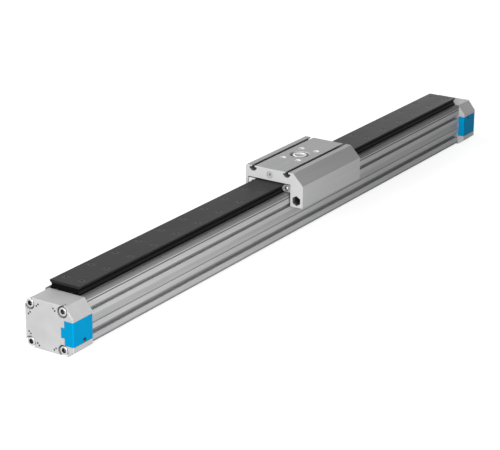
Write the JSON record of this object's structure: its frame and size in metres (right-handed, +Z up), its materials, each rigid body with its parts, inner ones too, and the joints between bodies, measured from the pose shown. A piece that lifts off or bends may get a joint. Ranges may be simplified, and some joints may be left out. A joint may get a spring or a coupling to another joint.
{
  "type": "passive guide axis",
  "caption": "Linear guide axis without a drive: a saddle slide on plain-bearing liners runs along a black V-notched rail on a slotted aluminium profile with end caps.",
  "frame": {"origin": "middle of the profile's flat underside, at half the overall length", "axes": "+X along the axis from the near cap to the far cap, +Y away from the side covers, +Z up"},
  "size_m": [0.85, 0.0766, 0.0764],
  "materials": {
    "natural_anodised": "natural anodised extrusion with fine lengthwise die lines",
    "natural_anodised_slide": "natural anodised, satin, machined end faces",
    "cast_aluminium": "fine blasted light grey casting",
    "black_anodised": "black hard anodised, satin",
    "black_steel": "black oxide",
    "blue_plastic": "moulded blue plastic with a fine grain",
    "zinc_steel": "bright zinc plated",
    "bar_aluminium": "milled, natural anodised",
    "liner_polymer": "pale bearing polymer",
    "ground_steel": "ground hardened steel"
  },
  "bodies": {
    "axis_frame": {"profile_barrel": "natural_anodised", "guide_rail": "black_anodised", "rail_screws": "black_steel", "near_cap": "cast_aluminium", "far_cap": "cast_aluminium", "near_side_cover": "blue_plastic", "far_side_cover": "blue_plastic", "near_cap_screws": "zinc_steel", "far_cap_screws": "zinc_steel"},
    "slide": {"slide_body": "natural_anodised_slide", "guide_bar_minus": "bar_aluminium", "guide_bar_plus": "bar_aluminium", "bearing_liner_minus": "liner_polymer", "bearing_liner_plus": "liner_polymer", "guide_bar_screws": "zinc_steel", "guide_bar_end_screws": "zinc_steel", "adjusting_screws": "zinc_steel", "centring_sleeve": "ground_steel", "thread_inserts": "ground_steel", "port_screws": "zinc_steel"}
  },
  "joints": [
    {"name": "slide_travel", "type": "slide", "parent": "axis_frame", "child": "slide", "axis": [1, 0, 0], "range_m": [-0.37, 0.29]}
  ]
}
